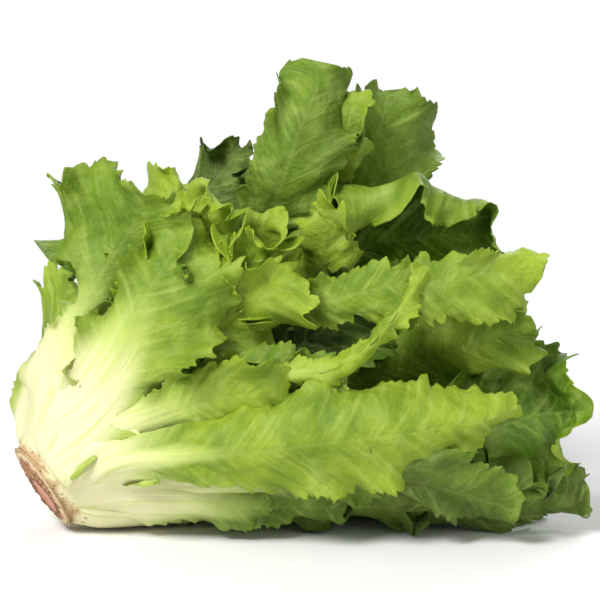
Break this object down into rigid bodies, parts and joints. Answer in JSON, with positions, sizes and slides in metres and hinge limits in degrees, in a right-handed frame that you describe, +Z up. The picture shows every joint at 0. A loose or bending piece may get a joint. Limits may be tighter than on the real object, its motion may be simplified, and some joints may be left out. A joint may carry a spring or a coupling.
{
  "type": "batavia lettuce",
  "caption": "Whole head of batavia lettuce lying on its side, with broad ruffled toothed leaves, pale thick stalks and a cut brown stump.",
  "frame": {"origin": "centre of the bounding box in plan, on the surface the head lies on", "axes": "+X from the cut stump towards the leaf tips, +Y away from the side seen in the picture, +Z up"},
  "size_m": [0.2886, 0.2264, 0.2313],
  "materials": {
    "stump": "dry, freshly cut core with a brown weathered rim",
    "outer_leaf": "soft satin leaf, cream-white stalk and yellow-green blade",
    "inner_leaf": "soft satin leaf, pale green stalk and mid-green blade"
  },
  "bodies": {
    "root": {"stump": "stump", "front_leaf": "outer_leaf", "upper_front_leaf": "outer_leaf", "left_back_leaf": "outer_leaf", "back_low_leaf": "outer_leaf", "bottom_leaf": "outer_leaf", "front_low_leaf": "outer_leaf", "front_upper_leaf": "outer_leaf", "top_outer_leaf": "outer_leaf", "back_outer_leaf": "outer_leaf", "bottom_back_leaf": "outer_leaf", "low_front_leaf": "inner_leaf", "front_upper_inner_leaf": "inner_leaf", "ruffled_leaf_left": "inner_leaf", "ruffled_leaf_middle": "inner_leaf", "ruffled_leaf_right": "inner_leaf", "ruffled_leaf_low": "inner_leaf", "dark_top_leaf": "inner_leaf", "low_fold_leaf": "inner_leaf", "low_tip_leaf": "inner_leaf", "top_leaf_left": "inner_leaf", "top_leaf_middle": "inner_leaf", "top_leaf_right": "inner_leaf", "right_upper_leaf": "inner_leaf", "right_band_leaf": "inner_leaf", "right_scoop_leaf": "inner_leaf", "right_middle_leaf": "inner_leaf", "right_tip_leaf": "inner_leaf", "back_leaf_upper": "inner_leaf", "back_leaf_middle": "inner_leaf", "back_leaf_low": "inner_leaf", "back_leaf_top": "inner_leaf", "bottom_leaf_inner": "inner_leaf", "inner_leaf_upper": "inner_leaf", "inner_leaf_top": "inner_leaf", "inner_leaf_back": "inner_leaf", "inner_leaf_low": "inner_leaf", "inner_leaf_front": "inner_leaf", "heart_leaf_upper": "inner_leaf", "heart_leaf_back": "inner_leaf", "right_curl_leaf": "inner_leaf", "small_leaf_left": "inner_leaf", "small_leaf_middle": "inner_leaf", "small_leaf_right": "inner_leaf"}
  },
  "joints": []
}
